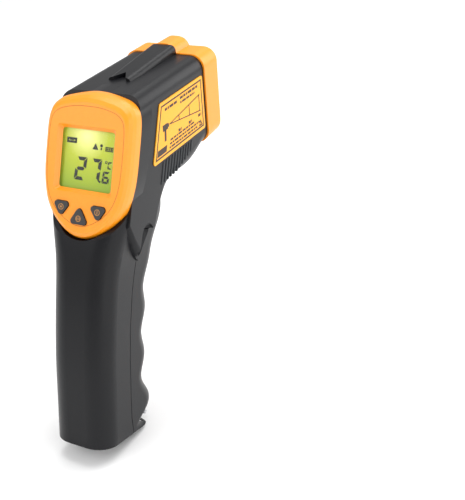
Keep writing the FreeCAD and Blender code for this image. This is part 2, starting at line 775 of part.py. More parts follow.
def keys():
    """Three keys: cap above, lip and post below; each stem rides in its switch."""
    under = D.bezel_face - D.bezel_skin
    lip_top = under - 0.3
    switch_top = D.switch_tall - D.board_depth
    switches = []
    for name, (x, y), corners in KEYS:
        corners = counter_clockwise(corners)
        cap = prism_body(name + "_cap", corners, D.bezel_face + D.key_proud - lip_top, corner=KEY_CORNER)
        lip = prism_body(name + "_lip", grown(corners, 0.5), D.key_lip, corner=KEY_CORNER + 0.5)
        lip.Placement = FreeCAD.Placement(Vector(0, 0, -float(D.key_lip)), FreeCAD.Rotation())
        post_low = switch_top + 1.1
        post = cylinder(name + "_post", D.stem_radius, lip_top - D.key_lip - post_low + 0.2,
                        (0, 0, post_low - lip_top))
        key = fuse(name, cap, lip, post)
        node(key, name, moved(bezel_frame(), x, y, lip_top))
        stem = cylinder(name + "_stem", D.stem_radius, 2.1)
        node(stem, name + "_stem", moved(bezel_frame(), x, y, post_low - 2.1))
        side = D.switch_side
        case = box(name + "_case", (side, side, D.switch_tall),
                   (x - side / 2, y - side / 2, -D.board_depth))
        bore = cylinder(name + "_bore", D.stem_radius + 0.08, 3, (x, y, switch_top - 1.6))
        switches.append(cut(name + "_switch", case, bore))
    node(group("key_switches", *switches), "key_switches", bezel_frame())


# Nose --------------------------------------------------------------------------------------------

RING_LIFT = 3.8


def ring_form(inset, start, finish, round_end):
    """The nose ring's outer form with its laser hump."""
    half = float(D.ring_half) - inset
    low = float(D.barrel_floor) + RING_LIFT + inset
    top = float(D.barrel_top) + 0.5 - inset
    corner = float(D.barrel_corner)
    ends = [(start, 0.0), (finish - round_end, 0.0), (finish - round_end * 0.3, round_end * 0.3),
            (finish, round_end)]
    body = Part.makeLoft([section(half - cut_in, low + 0.9 * (y - start) / (finish - start) + cut_in,
                                  top - cut_in, corner - cut_in / 2, y) for y, cut_in in ends], True, True)
    hump_top = float(D.barrel_top) + float(D.ring_rise)
    hump_half = float(D.hump_half) + 0.3
    hump = Part.makeLoft([section(hump_half - cut_in, top - 12, hump_top - cut_in, 5.6 - cut_in / 2, y)
                          for y, cut_in in ends], True, True)
    return body.fuse(hump)


def nose_ring():
    """The nose ring: outer form, front opening and the laser's hole."""
    start, finish = float(D.barrel_front), float(D.ring_front)
    wall = float(D.ring_wall)
    shape = ring_form(0, start, finish, 1.5)
    half = float(D.ring_half) - wall
    low = float(D.barrel_floor) + RING_LIFT + wall + 0.9
    high = float(D.laser_z) - float(D.beam_radius) - 1.3
    opening = prism(section(half, low, high, 4.5, start - 1), Vector(0, finish - start + 2, 0))
    beam = Part.makeCylinder(float(D.beam_radius), 40, Vector(0, 70, float(D.laser_z)), Vector(0, 1, 0))
    seat = Part.makeCylinder(float(D.laser_radius) + 0.05, 20,
                             Vector(0, float(D.laser_back), float(D.laser_z)), Vector(0, 1, 0))
    seat = seat.common(solid_box((-9, 0, 0), (9, float(D.laser_back + D.laser_long) + 0.1, 200)))
    feature("nose_ring", largest(shape.cut([opening, beam, seat])))


def aperture_insert():
    """The black insert that fills the ring, with a conical mouth towards the lens."""
    wall = float(D.ring_wall) + 0.05
    back = float(D.tube_front + D.lens_thick) + 0.1
    front = float(D.ring_front) - 1.2
    low = float(D.barrel_floor) + RING_LIFT + wall + 0.9
    high = float(D.laser_z) - float(D.beam_radius) - 1.35
    plug = prism(section(float(D.ring_half) - wall, low, high, 4.45, back), Vector(0, front - back, 0))
    cone = Part.makeCone(float(D.throat_radius), float(D.mouth_radius), front - back + 0.4,
                         Vector(0, back - 0.2, float(D.optic_z)), Vector(0, 1, 0))
    feature("aperture_insert", plug.cut(cone))


def optics():
    """Tube, lens, retainer, thermopile and its board on one axis."""
    length = D.tube_front - D.tube_back
    neck = D.sensor_radius + 0.1
    seat = length - D.lens_thick
    points = [(neck, 0), (D.tube_radius, 0), (D.tube_radius, length), (D.lens_radius + 0.05, length),
              (D.lens_radius + 0.05, seat), (D.tube_bore, seat), (D.tube_bore, 5.6), (neck, 5.0)]
    node(turned_body("optical_tube", points), "optical_tube", aim_frame(D.tube_back, D.optic_z))
    lens = [(0, 0), (D.lens_radius, 0), (D.lens_radius, D.lens_thick), (0, D.lens_thick)]
    node(turned_body("infrared_lens", lens), "infrared_lens",
         aim_frame(D.tube_back + seat, D.optic_z))
    retainer = [(D.throat_radius - 0.3, 0), (D.tube_radius, 0), (D.tube_radius, D.lens_thick),
                (D.throat_radius - 0.3, D.lens_thick)]
    node(turned_body("lens_retainer", retainer), "lens_retainer", aim_frame(D.tube_front, D.optic_z))
    can = [(0, 0), (D.sensor_radius + 0.6, 0), (D.sensor_radius + 0.6, D.sensor_rim),
           (D.sensor_radius, D.sensor_rim), (D.sensor_radius, D.sensor_long), (0, D.sensor_long)]
    node(turned_body("thermopile_sensor", can), "thermopile_sensor",
         aim_frame(D.tube_back - D.sensor_rim, D.optic_z))
    board = prism_body("sensor_board", rectangle(25, 23), D.board_thick, corner=1.5)
    node(board, "sensor_board", aim_frame(D.tube_back - D.sensor_rim - D.board_thick, D.optic_z))


def laser():
    """The brass laser module and its small window in the hump."""
    module = [(0, 0), (D.laser_radius - 0.8, 0), (D.laser_radius - 0.8, 2), (D.laser_radius, 2),
              (D.laser_radius, D.laser_long), (1.2, D.laser_long), (1.2, D.laser_long - 1),
              (0, D.laser_long - 1)]
    node(turned_body("laser_module", module), "laser_module", aim_frame(D.laser_back, D.laser_z))
    glass = [(0, 0), (D.beam_radius, 0), (D.beam_radius, D.beam_glass), (0, D.beam_glass)]
    node(turned_body("laser_window", glass), "laser_window",
         aim_frame(D.ring_front - 2.4, D.laser_z))


# Trigger -----------------------------------------------------------------------------------------

TRIGGER_FRONT = ((19.8, 103.0), (21.9, 100.0), (22.7, 96.0), (22.3, 91.0), (20.9, 86.0), (20.6, 82.6),
                 (19.2, 81.0))


def trigger():
    """The trigger: finger face, pin bore and the arm under its spring."""
    half = float(D.trigger_half)
    back = 10.5
    points = [Vector(-half, w, t) for w, t in TRIGGER_FRONT]
    points = points + [Vector(-half, 12.6, 81.0), Vector(-half, back, 83.0), Vector(-half, back, 103.0)]
    side = prism(Part.makePolygon(points + points[:1]), Vector(2 * half, 0, 0))
    side.Placement = grip_frame()
    arm = solid_box((0.6, SPRING_AT[1] - 2.4, ARM_TOP - 3.2), (5.4, 36, ARM_TOP))
    rest = solid_box((0.6, SPRING_AT[1] + 1.5, ARM_TOP - 6.2), (5.4, 36, ARM_TOP))
    shape = side.fuse([arm, rest])
    bore = grip_cylinder(float(D.pivot_radius + D.pivot_fit), float(D.pivot_w), float(D.pivot_t), -9, 9)
    feature("trigger", largest(shape.cut(bore)))
    pin = cylinder("trigger_pin", D.pivot_radius, 18.6)
    node(pin, "trigger_pin", side_frame(grip_frame(), -9.3, D.pivot_w, D.pivot_t))


def coil(radius, wire, height, turns):
    """A helical spring of round wire standing on its local origin."""
    helix = Part.makeHelix((height - 2 * wire) / turns, height - 2 * wire, radius - wire)
    helix.translate(Vector(0, 0, wire))
    start = Part.Wire(Part.makeCircle(wire, Vector(radius - wire, 0, wire), Vector(0, 1, 0)))
    return Part.Wire(helix.Edges).makePipeShell([start], True, True)


def trigger_spring():
    """The trigger's return spring between its arm and the housing shelf."""
    spring = coil(2.0, float(D.spring_wire), SPRING_TOP - ARM_TOP, 5)
    feature("trigger_spring", spring,
            FreeCAD.Placement(Vector(SPRING_AT[0], SPRING_AT[1], ARM_TOP), FreeCAD.Rotation()))


SWITCH_T = 87.5


def trigger_switch():
    """Switch and plunger behind the trigger, on a small board."""
    face = 10.5 - D.plunger_gap
    case = box("trigger_case", (7, 4.6, 6.5), (-3.5, face - 1.9 - 4.6, SWITCH_T - 3.25))
    bore = cylinder("trigger_case_bore", D.plunger_radius + 0.06, 5)
    bore.Placement = FreeCAD.Placement(Vector(0, float(face) - 1.9 - 4.0, SWITCH_T),
                                       FreeCAD.Rotation(Vector(1, 0, 0), -90))
    node(cut("trigger_switch", case, bore), "trigger_switch", grip_frame())
    plunger = turned_body("switch_plunger", [(0, 0), (D.plunger_radius, 0), (D.plunger_radius, 4.2), (0, 4.2)])
    turn = FreeCAD.Placement(Vector(0, float(face) - 4.2, SWITCH_T), FreeCAD.Rotation(Vector(1, 0, 0), -90))
    node(plunger, "switch_plunger", grip_frame().multiply(turn))
    board = prism_body("trigger_board", rectangle(17, 1.2), 17)
    node(board, "trigger_board", moved(grip_frame(), 0, face - 1.9 - 4.6 - 0.6, SWITCH_T - 6))


# Battery and door --------------------------------------------------------------------------------

LUG_ROOM = 4.8


def battery_door():
    """The door: grip skin in front of the seam, side webs, hinge nose and snap ribs."""
    wall = float(D.wall)
    outer = grip_solid(0).cut(tail_trim())
    inner = grip_solid(wall)
    nose = grip_cylinder(float(D.door_nose), float(D.door_pin_w), float(D.door_pin_t), -40, 40)
    below = solid_box((-60, -60, -20), (60, float(D.door_pin_w), float(D.door_pin_t)))
    ahead = solid_box((-60, float(D.door_pin_w), -20), (60, 60, float(D.door_pin_t)))
    webs = solid_box((-float(D.grip_half) + wall + 0.5, -60, -20), (float(D.grip_half) - wall - 0.5, 60, 6))
    for block in (below, ahead, webs):
        block.Placement = grip_frame()
    region = door_region(0).cut(below.common(webs)).cut(ahead.cut(nose))
    hollow = grip_cylinder(float(D.door_nose) - wall + 0.2, float(D.door_pin_w), float(D.door_pin_t),
                           -LUG_ROOM, LUG_ROOM)
    shell = outer.common(region).cut([inner, hollow])
    half = float(D.grip_half) - wall - 0.15
    ribs = []
    for side in (-1, 1):
        across = sorted((side * half, side * (half - 1.2)))
        rib = solid_box((across[0], -4.0, 64), (across[1], 6, 76))
        ears = solid_box((across[0], float(D.door_pin_w) - 3.2, float(D.door_pin_t) - 3.2),
                         (across[1], float(D.door_pin_w) + 3.2, float(D.door_pin_t) + 3.2))
        hold = sorted((side * half, side * (half + 0.3)))
        root = solid_box((hold[0], 0.2, 64), (hold[1], 6, 76))
        base = solid_box((hold[0], float(D.door_pin_w) - 3.2, float(D.door_pin_t) - 3.2),
                         (hold[1], float(D.door_pin_w) + 3.2, float(D.door_pin_t) + 3.2))
        for piece in (rib, ears, root, base):
            piece.Placement = grip_frame()
            ribs.append(piece)
    bore = grip_cylinder(float(D.door_pin_radius + D.door_fit), float(D.door_pin_w), float(D.door_pin_t),
                         -12.9, 12.9)
    feature("battery_door", largest(shell.fuse(ribs).common(outer).cut([bore, finger_recess()])))
    pin = cylinder("door_pin", D.door_pin_radius, 25.2)
    node(pin, "door_pin", side_frame(grip_frame(), -12.6, D.door_pin_w, D.door_pin_t))


def cell_spots():
    """The two cells' X centres and which way up each stands."""
    offset = D.cell_radius + D.cell_gap / 2
    return ((-offset, True), (offset, False))


def battery_cells():
    """Two AAA cells, side by side, one each way up."""
    cells = []
    for index, (x, upright) in enumerate(cell_spots()):
        low = D.cell_foot if upright else D.cell_foot + D.nub_long
        can = cylinder("cell_can{}".format(index), D.cell_radius, D.cell_long, (x, D.cell_w, low))
        nub_low = D.cell_foot + D.cell_long if upright else D.cell_foot
        nub = cylinder("cell_nub{}".format(index), D.nub_radius, D.nub_long, (x, D.cell_w, nub_low))
        cells.append(fuse("cell{}".format(index), can, nub))
    node(group("battery_cells", *cells), "battery_cells", grip_frame())


SPRING_ROOM = 3.2


def battery_metal():
    """Coil springs, top contacts and the bottom link plate."""
    low = float(D.cell_foot)
    top = low + float(D.cell_long + D.nub_long)
    spots = [float(x) for x, upright in cell_spots()]
    across = float(D.cell_w)
    lower = coil(3.4, float(D.spring_wire), SPRING_ROOM, 3)
    lower.translate(Vector(spots[0], across, low - SPRING_ROOM))
    upper = coil(3.4, float(D.spring_wire), SPRING_ROOM, 3)
    upper.translate(Vector(spots[1], across, top))
    feature("battery_springs", Part.Compound([lower, upper]), grip_frame())
    plate = D.contact_thick
    link_low = D.cell_foot - SPRING_ROOM - plate
    link = box("link_plate", (20, 8, plate), (-10, D.cell_w - 4, link_low))
    bump = cylinder("link_bump", 2.4, SPRING_ROOM, (cell_spots()[1][0], D.cell_w, D.cell_foot - SPRING_ROOM))
    node(fuse("battery_link", link, bump), "battery_link", grip_frame())
    high = D.cell_foot + D.cell_long + D.nub_long
    contacts = []
    for index, (x, upright) in enumerate(cell_spots()):
        contact = box("contact{}".format(index), (8, 8, plate), (x - 4, D.cell_w - 4, high + SPRING_ROOM))
        if upright:
            button = cylinder("contact_bump", 2.4, SPRING_ROOM, (x, D.cell_w, high))
            contact = fuse("contact_button", contact, button)
        contacts.append(contact)
    node(group("battery_contacts", *contacts), "battery_contacts", grip_frame())


def battery_cradle():
    """The tray that holds the cells and the contacts."""
    wall = D.tray_wall
    half = D.grip_half - D.wall - 0.2
    low = D.cell_foot - SPRING_ROOM - D.contact_thick - wall
    high = D.cell_foot + D.cell_long + D.nub_long + SPRING_ROOM + D.contact_thick + wall
    back = D.cell_w - D.cell_radius - 1.2
    block = box("tray_block", (half * 2, D.cell_radius + 5.6, high - low), (-half, back - 1.2, low))
    room = box("tray_room", ((half - wall) * 2, 30, high - low - wall * 2),
               (-(half - wall), back + 1.1, low + wall))
    node(cut("battery_cradle", block, room), "battery_cradle", grip_frame())


# Screws, label and leads -------------------------------------------------------------------------

def housing_screws():
    """The five screws that join the halves from the left."""
    screws = []
    for index, (y, z) in enumerate(screw_places()):
        head = cylinder("screw_head{}".format(index), D.screw_head, 1.8)
        head.Placement = side_frame(FreeCAD.Placement(), -5.8, y, z)
        shank = cylinder("screw_shank{}".format(index), D.screw_radius, D.screw_long - 0.3)
        shank.Placement = side_frame(FreeCAD.Placement(), -4.2, y, z)
        screws.append(fuse("screw{}".format(index), head, shank))
    node(group("housing_screws", *screws), "housing_screws")


def side_label():
    """The label on the flat right side, its rear edge parallel to the display."""
    points = [(32.8, 113.6), (78.4, 113.6), (78.4, 137.2), (41.9, 137.2)]
    body = prism_body("side_label", points, D.label_thick, "YZ_Plane", 1.2)
    node(body, "side_label", FreeCAD.Placement(Vector(float(D.barrel_half), 0, 0), FreeCAD.Rotation()))


def lead_path(points):
    """Straight runs joined by tangent arcs."""
    edges = []
    last = points[0]
    for index in range(1, len(points) - 1):
        here = points[index]
        back = points[index - 1] - here
        ahead = points[index + 1] - here
        half = back.getAngle(ahead) / 2
        reach = 0.45 * min(back.Length, ahead.Length)
        radius = reach * math.tan(half)
        middle = (back.normalize() + ahead.normalize()).normalize()
        start = here + back * reach
        finish = here + ahead * reach
        peak = here + middle * (radius / math.sin(half) - radius)
        edges.append(Part.LineSegment(last, start).toShape())
        edges.append(Part.Arc(start, peak, finish).toShape())
        last = finish
    edges.append(Part.LineSegment(last, points[-1]).toShape())
    return Part.Wire(edges)


def lead(points):
    """One insulated lead along its route."""
    route = [Vector(*point) for point in points]
    path = lead_path(route)
    ring = Part.Wire(Part.makeCircle(float(D.lead_radius), route[0], route[1] - route[0]))
    return path.makePipeShell([ring], True, True)


def grip_point(x, w, t):
    """A grip-frame point in the part frame."""
    return tuple(grip_frame().multVec(Vector(x, w, t)))


def leads():
    """Battery, trigger, sensor and laser leads, each pair one node."""
    board = bezel_frame().multVec(Vector(0, -8, -float(D.board_depth + D.board_thick)))
    battery = [lead([grip_point(x, 4.0, 66.0), grip_point(x, 2.0, 72.0), grip_point(x, -6.0, 78.0),
                     grip_point(x, -6.0, 88.0), (x, board.y + 5.0, board.z - 2.0),
                     (x, board.y + 0.3, board.z + 0.2)]) for x in (-9.2, -7.4)]
    feature("battery_leads", Part.Compound(battery))
    trigger_pair = [lead([grip_point(x, 2.2, 91.0), grip_point(x, 0.0, 94.5), (x, 19.5, 103.0),
                          (x, board.y + 0.3, board.z - 2.6)]) for x in (-6.0, -4.6)]
    feature("trigger_leads", Part.Compound(trigger_pair))
    back = float(D.tube_back - D.sensor_rim - D.board_thick)
    middle = bezel_frame().multVec(Vector(0, 0, -float(D.board_depth + D.board_thick)))
    sensor = [lead([(x, back - 0.1, 124.0), (x, back - 6.0, 124.0), (x, back - 12.0, 121.0),
                    (x, middle.y + 7.0, 121.0), (x, middle.y + 0.3, middle.z)]) for x in (8.0, 9.6, 11.2)]
    feature("sensor_leads", Part.Compound(sensor))
    start = float(D.laser_back)
    upper = bezel_frame().multVec(Vector(0, 12, -float(D.board_depth + D.board_thick)))
    beam = [lead([(x, start - 0.05, 142.2), (x, start - 8, 141.8), (x, start - 16, 140.2),
                  (x, start - 26, 134.5), (x, upper.y + 0.3, upper.z)]) for x in (-1.2, 1.2)]
    feature("laser_leads", Part.Compound(beam))


def main():
    """Build every sub-part, check the document, then write one file per node."""
    housing_halves()
    display_bezel()
    display_stack()
    main_board()
    board_screws()
    keys()
    nose_ring()
    aperture_insert()
    optics()
    laser()
    trigger()
    trigger_spring()
    trigger_switch()
    battery_door()
    battery_cells()
    battery_metal()
    battery_cradle()
    housing_screws()
    side_label()
    leads()
    DOC.recompute()
    for obj in DOC.Objects:
        if "Invalid" in obj.State or "Error" in obj.State:
            raise RuntimeError("{} failed: {}".format(obj.Label, obj.State))
    os.makedirs("parts", exist_ok=True)
    for obj in NODES:
        if obj.Shape.isNull() or not obj.Shape.isValid():
            raise RuntimeError(obj.Label + " has no valid shape")
        obj.Shape.exportStep("parts/{}.step".format(obj.Label))
        print(obj.Label, round(obj.Shape.Volume, 1), len(obj.Shape.Solids))


main()
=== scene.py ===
"""Looks of a pistol-grip infrared thermometer: materials, display art, label art, grip texture and stage."""
import math

import bmesh
import bpy
from mathutils import Matrix, Vector


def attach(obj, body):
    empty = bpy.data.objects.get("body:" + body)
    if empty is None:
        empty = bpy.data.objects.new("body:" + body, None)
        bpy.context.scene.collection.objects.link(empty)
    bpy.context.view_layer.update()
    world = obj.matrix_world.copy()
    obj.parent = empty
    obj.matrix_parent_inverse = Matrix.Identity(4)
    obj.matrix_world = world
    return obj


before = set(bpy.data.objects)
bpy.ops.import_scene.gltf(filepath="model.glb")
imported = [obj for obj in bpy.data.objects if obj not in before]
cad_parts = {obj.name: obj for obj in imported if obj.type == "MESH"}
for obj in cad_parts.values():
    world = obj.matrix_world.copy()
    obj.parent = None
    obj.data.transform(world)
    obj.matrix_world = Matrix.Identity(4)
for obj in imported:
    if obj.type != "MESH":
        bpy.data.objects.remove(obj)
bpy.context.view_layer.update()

bl_info = {
    "name": "Infrared thermometer looks",
    "version": (1, 0, 0),
    "blender": (4, 5, 0),
    "location": "View3D > Sidebar > Thermometer",
    "description": "Builds the looks of a pistol-grip infrared thermometer around its solid model",
    "category": "Object",
}

MM = 0.001
BEZEL_TILT = math.radians(21.1)
GRIP_LEAN = math.radians(13.5)
DISPLAY_CENTRE = Vector((0.0, 14.9, 121.9)) * MM


class LookSettings(bpy.types.PropertyGroup):
    """Colours and fine sizes of the looks."""

    bezel_colour: bpy.props.FloatVectorProperty(
        name="Bezel colour", description="Orange plastic of the bezel and nose ring", subtype="COLOR",
        size=3, min=0.0, max=1.0, default=(0.95, 0.30, 0.004))
    body_colour: bpy.props.FloatVectorProperty(
        name="Body colour", description="Charcoal plastic of the housing", subtype="COLOR",
        size=3, min=0.0, max=1.0, default=(0.0045, 0.0047, 0.0062))
    label_colour: bpy.props.FloatVectorProperty(
        name="Label colour", description="Yellow of the side label", subtype="COLOR",
        size=3, min=0.0, max=1.0, default=(0.95, 0.40, 0.004))
    glow: bpy.props.FloatProperty(
        name="Backlight", description="Strength of the display's backlight", min=0.0, default=0.3)
    rib_pitch: bpy.props.FloatProperty(
        name="Rib pitch", description="Distance between the side ribs", unit="LENGTH", default=0.0026)


# Frames and meshes -------------------------------------------------------------------------------

def display_frame():
    """Bezel axes: x right, y up the display, z out of it."""
    turn = Matrix.Rotation(math.pi / 2 - BEZEL_TILT, 4, "X")
    return Matrix.Translation(DISPLAY_CENTRE) @ turn


def grip_frame():
    """Grip axes: x right, y forward across the grip, z up its length."""
    return Matrix.Rotation(-GRIP_LEAN, 4, "X")


def side_frame(sign=1):
    """Side axes: x forward along the barrel, y up, z out of the side."""
    return Matrix(((0, 0, sign, 0), (1, 0, 0, 0), (0, 1, 0, 0), (0, 0, 0, 1)))


def add_piece(name, mesh, body, material):
    """Link a finished mesh as a piece that rides a body."""
    piece = bpy.data.objects.new(name, mesh)
    bpy.context.scene.collection.objects.link(piece)
    piece.data.materials.append(material)
    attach(piece, body)
    return piece


def flat_mesh(name, outlines, place, low, high):
    """Thin plates from 2-D outlines in millimetres, between two levels of a frame."""
    bm = bmesh.new()
    for outline in outlines:
        verts = [bm.verts.new(Vector((a, b, low)) * MM) for a, b in outline]
        face = bm.faces.new(verts)
        grown = bmesh.ops.extrude_face_region(bm, geom=[face])
        moved = [item for item in grown["geom"] if isinstance(item, bmesh.types.BMVert)]
        bmesh.ops.translate(bm, verts=moved, vec=Vector((0, 0, high - low)) * MM)
    bmesh.ops.recalc_face_normals(bm, faces=bm.faces)
    bmesh.ops.transform(bm, matrix=place, verts=bm.verts)
    mesh = bpy.data.meshes.new(name)
    bm.to_mesh(mesh)
    bm.free()
    return mesh


def loop_mesh(name, points, radius, place, sides):
    """A round line through a closed loop of 3-D points in millimetres."""
    bm = bmesh.new()
    rings = []
    count = len(points)
    for index, point in enumerate(points):
        here = Vector(point)
        back = Vector(points[index - 1])
        ahead = Vector(points[(index + 1) % count])
        run = (ahead - back).normalized()
        across = run.orthogonal() if abs(run.z) > 0.95 else run.cross(Vector((0, 0, 1))).normalized()
        other = run.cross(across).normalized()
        ring = [bm.verts.new((here + across.normalized() * math.cos(step) * radius
                              + other * math.sin(step) * radius) * MM)
                for step in (2 * math.pi * k / sides for k in range(sides))]
        rings.append(ring)
    for index in range(count):
        first, second = rings[index], rings[(index + 1) % count]
        for side in range(sides):
            following = (side + 1) % sides
            bm.faces.new((first[side], first[following], second[following], second[side]))
    bmesh.ops.recalc_face_normals(bm, faces=bm.faces)
    bmesh.ops.transform(bm, matrix=place, verts=bm.verts)
    mesh = bpy.data.meshes.new(name)
    bm.to_mesh(mesh)
    bm.free()
    for polygon in mesh.polygons:
        polygon.use_smooth = True
    return mesh


def bar(x, y, wide, tall, slant=0.0):
    """Corners of a bar from its lower left corner, its top moved right by slant."""
    return [(x, y), (x + wide, y), (x + wide + slant, y + tall), (x + slant, y + tall)]


def frame_bars(outline, thick):
    """The sides of a polygon as mitred bars, drawn inward."""
    count = len(outline)
    inner = inset(outline, thick)
    return [[outline[k], outline[(k + 1) % count], inner[(k + 1) % count], inner[k]] for k in range(count)]


def inset(outline, gap):
    """A counter-clockwise polygon with every side moved inward."""
    count = len(outline)
    sides = []
    for index in range(count):
        here = Vector(outline[index])
        run = (Vector(outline[(index + 1) % count]) - here).normalized()
        sides.append((here + Vector((-run.y, run.x)) * gap, run))
    corners = []
    for index in range(count):
        (first, run), (second, other) = sides[index - 1], sides[index]
        cross = run.x * other.y - run.y * other.x
        reach = ((second.x - first.x) * other.y - (second.y - first.y) * other.x) / cross
        corners.append(tuple(first + run * reach))
    return corners


# Materials ---------------------------------------------------------------------------------------

def new_material(name):
    """A material with its nodes and Principled shader."""
    material = bpy.data.materials.new(name)
    material.use_nodes = True
    return material, material.node_tree.nodes, material.node_tree.links


def grain(nodes, links, shader, scale, strength, distance=0.0001):
    """A fine moulded texture on object coordinates."""
    coordinates = nodes.new("ShaderNodeTexCoord")
    noise = nodes.new("ShaderNodeTexNoise")
    bump = nodes.new("ShaderNodeBump")
    noise.inputs["Scale"].default_value = scale
    noise.inputs["Detail"].default_value = 3.0
    bump.inputs["Strength"].default_value = strength
    bump.inputs["Distance"].default_value = distance
    links.new(coordinates.outputs["Object"], noise.inputs["Vector"])
    links.new(noise.outputs["Fac"], bump.inputs["Height"])
    links.new(bump.outputs["Normal"], shader.inputs["Normal"])
    return noise


def tinted(nodes, links, shader, noise, colour, spread):
    """A small variation of colour from the grain."""
    ramp = nodes.new("ShaderNodeValToRGB")
    ramp.color_ramp.elements[0].position = 0.3
    ramp.color_ramp.elements[1].position = 0.7
    ramp.color_ramp.elements[0].color = tuple(c * (1 - spread) for c in colour) + (1.0,)
    ramp.color_ramp.elements[1].color = tuple(min(1.0, c * (1 + spread)) for c in colour) + (1.0,)
    links.new(noise.outputs["Fac"], ramp.inputs["Fac"])
    links.new(ramp.outputs["Color"], shader.inputs["Base Color"])


def solid_material(name, colour, rough, metal=0.0, scale=900.0, strength=0.1, spread=0.04, coat=0.0,
                   gloss=0.5):
    """A plastic, rubber or metal with a little grain."""
    material, nodes, links = new_material(name)
    shader = nodes["Principled BSDF"]
    shader.inputs["Roughness"].default_value = rough
    shader.inputs["Metallic"].default_value = metal
    shader.inputs["Specular IOR Level"].default_value = gloss
    shader.inputs["Coat Weight"].default_value = coat
    shader.inputs["Coat Roughness"].default_value = 0.25
    noise = grain(nodes, links, shader, scale, strength)
    tinted(nodes, links, shader, noise, tuple(colour), spread)
    return material


def clear_material(name):
    """A clear window that lets the panel behind show."""
    material, nodes, links = new_material(name)
    shader = nodes["Principled BSDF"]
    shader.inputs["Base Color"].default_value = (0.9, 0.95, 0.9, 1.0)
    shader.inputs["Roughness"].default_value = 0.05
    noise = grain(nodes, links, shader, 60.0, 0.02)
    clear = nodes.new("ShaderNodeBsdfTransparent")
    mix = nodes.new("ShaderNodeMixShader")
    fresnel = nodes.new("ShaderNodeFresnel")
    fresnel.inputs["IOR"].default_value = 1.3
    links.new(fresnel.outputs["Fac"], mix.inputs["Fac"])
    links.new(clear.outputs["BSDF"], mix.inputs[1])
    links.new(shader.outputs["BSDF"], mix.inputs[2])
    links.new(mix.outputs["Shader"], nodes["Material Output"].inputs["Surface"])
    noise.inputs["Roughness"].default_value = 0.4
    return material


def glow_material(name, strength):
    """The backlit display: yellow-green backlight, with a painted highlight brightest above its middle,
    greener at its edges.
    """
    material, nodes, links = new_material(name)
    shader = nodes["Principled BSDF"]
    coordinates = nodes.new("ShaderNodeTexCoord")
    away = nodes.new("ShaderNodeVectorMath")
    away.operation = "DISTANCE"
    # painted highlight: a pale spot above the display's middle stands in for a reflection on its window
    painted_highlight_spot = display_frame() @ (Vector((-1.5, 9.5, -1.0)) * MM)
    away.inputs[1].default_value = painted_highlight_spot
    ramp = nodes.new("ShaderNodeValToRGB")
    reach = nodes.new("ShaderNodeMath")
    reach.operation = "MULTIPLY"
    reach.inputs[1].default_value = 1 / (24 * MM)
    elements = ramp.color_ramp.elements
    # the first stop is the pale painted highlight, the last the backlight's own deep green
    elements[0].position = 0.05
    elements[0].color = (0.95, 0.93, 0.35, 1.0)
    elements[1].position = 1.0
    elements[1].color = (0.26, 0.40, 0.002, 1.0)
    middle = elements.new(0.42)
    middle.color = (0.50, 0.56, 0.006, 1.0)
    links.new(coordinates.outputs["Object"], away.inputs[0])
    links.new(away.outputs["Value"], reach.inputs[0])
    links.new(reach.outputs["Value"], ramp.inputs["Fac"])
    links.new(ramp.outputs["Color"], shader.inputs["Base Color"])
    links.new(ramp.outputs["Color"], shader.inputs["Emission Color"])
    shader.inputs["Emission Strength"].default_value = strength
    shader.inputs["Roughness"].default_value = 0.35
    return material


def settings():
    """The add-on's settings."""
    return bpy.context.scene.thermometer_looks


PAINT = (
    (("display_window", "laser_window"), "clear_window", None),
    (("lcd_panel",), "lcd_glow", None),
    (("lcd_backlight",), "light_guide", ((0.75, 0.8, 0.5), 0.4, 0.0)),
    (("key_left", "key_middle", "key_right"), "grey_key", ((0.028, 0.027, 0.027), 0.55, 0.0)),
    (("lcd_frame", "main_chip", "key_switches", "key_left_stem", "key_middle_stem", "key_right_stem",
      "aperture_insert", "optical_tube", "lens_retainer", "trigger_switch", "switch_plunger",
      "battery_cradle"), "black_plastic", ((0.012, 0.012, 0.013), 0.5, 0.0)),
    (("lcd_connector",), "black_rubber", ((0.01, 0.01, 0.01), 0.8, 0.0)),
    (("main_board", "sensor_board", "trigger_board"), "green_board", ((0.02, 0.16, 0.05), 0.35, 0.0)),
    (("board_screws", "housing_screws", "trigger_pin", "door_pin", "trigger_spring", "battery_springs",
      "battery_link", "battery_contacts", "thermopile_sensor"), "plated_steel", ((0.6, 0.6, 0.62), 0.3, 1.0)),
    (("infrared_lens",), "lens_plastic", ((0.62, 0.6, 0.55), 0.25, 0.0)),
    (("laser_module",), "brass_barrel", ((0.72, 0.5, 0.2), 0.3, 1.0)),
    (("battery_cells",), "cell_wrap", ((0.05, 0.05, 0.06), 0.25, 0.0)),
    (("battery_leads", "trigger_leads", "sensor_leads", "laser_leads"), "lead_sleeve",
     ((0.35, 0.02, 0.02), 0.5, 0.0)),
)


class THERMO_OT_materials(bpy.types.Operator):
    """Give every solid of the model its material"""

    bl_idname = "thermometer.materials"
    bl_label = "Model materials"

    def execute(self, context):
        look = settings()
        body = solid_material("charcoal_plastic", look.body_colour, 0.34, scale=1500.0, strength=0.15,
                              spread=0.12, gloss=0.26)
        orange = solid_material("orange_plastic", look.bezel_colour, 0.38, scale=700.0, strength=0.05,
                                spread=0.02, coat=0.12)
        label = solid_material("yellow_label", look.label_colour, 0.4, strength=0.03, spread=0.02)
        for name in ("left_housing", "right_housing", "battery_door"):
            self.paint(name, body)
        for name in ("display_bezel", "nose_ring", "trigger"):
            self.paint(name, orange)
        self.paint("side_label", label)
        for names, title, recipe in PAINT:
            if title == "clear_window":
                material = clear_material(title)
            elif title == "lcd_glow":
                material = glow_material(title, look.glow)
            else:
                colour, rough, metal = recipe
                material = solid_material(title, colour, rough, metal)
            for name in names:
                self.paint(name, material)
        return {"FINISHED"}

    def paint(self, name, material):
        """Put one material on a CAD node."""
        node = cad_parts[name]
        node.data.materials.clear()
        node.data.materials.append(material)


# Display art -------------------------------------------------------------------------------------

ART_LOW = -1.06
ART_HIGH = -1.0
SEGMENTS = {"2": "abged", "7": "abc", "6": "acdefg", "C": "adef"}


